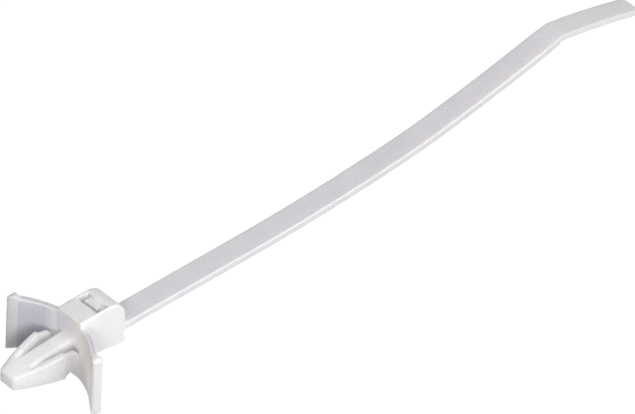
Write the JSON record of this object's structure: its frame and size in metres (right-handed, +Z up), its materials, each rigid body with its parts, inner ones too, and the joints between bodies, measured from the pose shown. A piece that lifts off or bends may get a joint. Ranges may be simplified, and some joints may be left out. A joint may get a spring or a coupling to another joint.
{
  "type": "push-mount cable tie",
  "caption": "One-piece moulded cable tie with an arrowhead that snaps into a panel hole, sprung wings, a ratchet head and a toothed strap.",
  "frame": {"origin": "on the arrowhead's axis, in the plane of the barbs' shoulders, where the far side of the panel is caught", "axes": "+X along the arrowhead's axis, from the tip towards the head and the strap; +Z up, the way the strap comes out of the slot, with the strap's smooth face up; +Y across"},
  "size_m": [0.1482, 0.0234, 0.0143],
  "materials": {
    "nylon": "natural nylon, satin, slightly translucent"
  },
  "bodies": {
    "root": {"cable_tie": "nylon"}
  },
  "joints": []
}
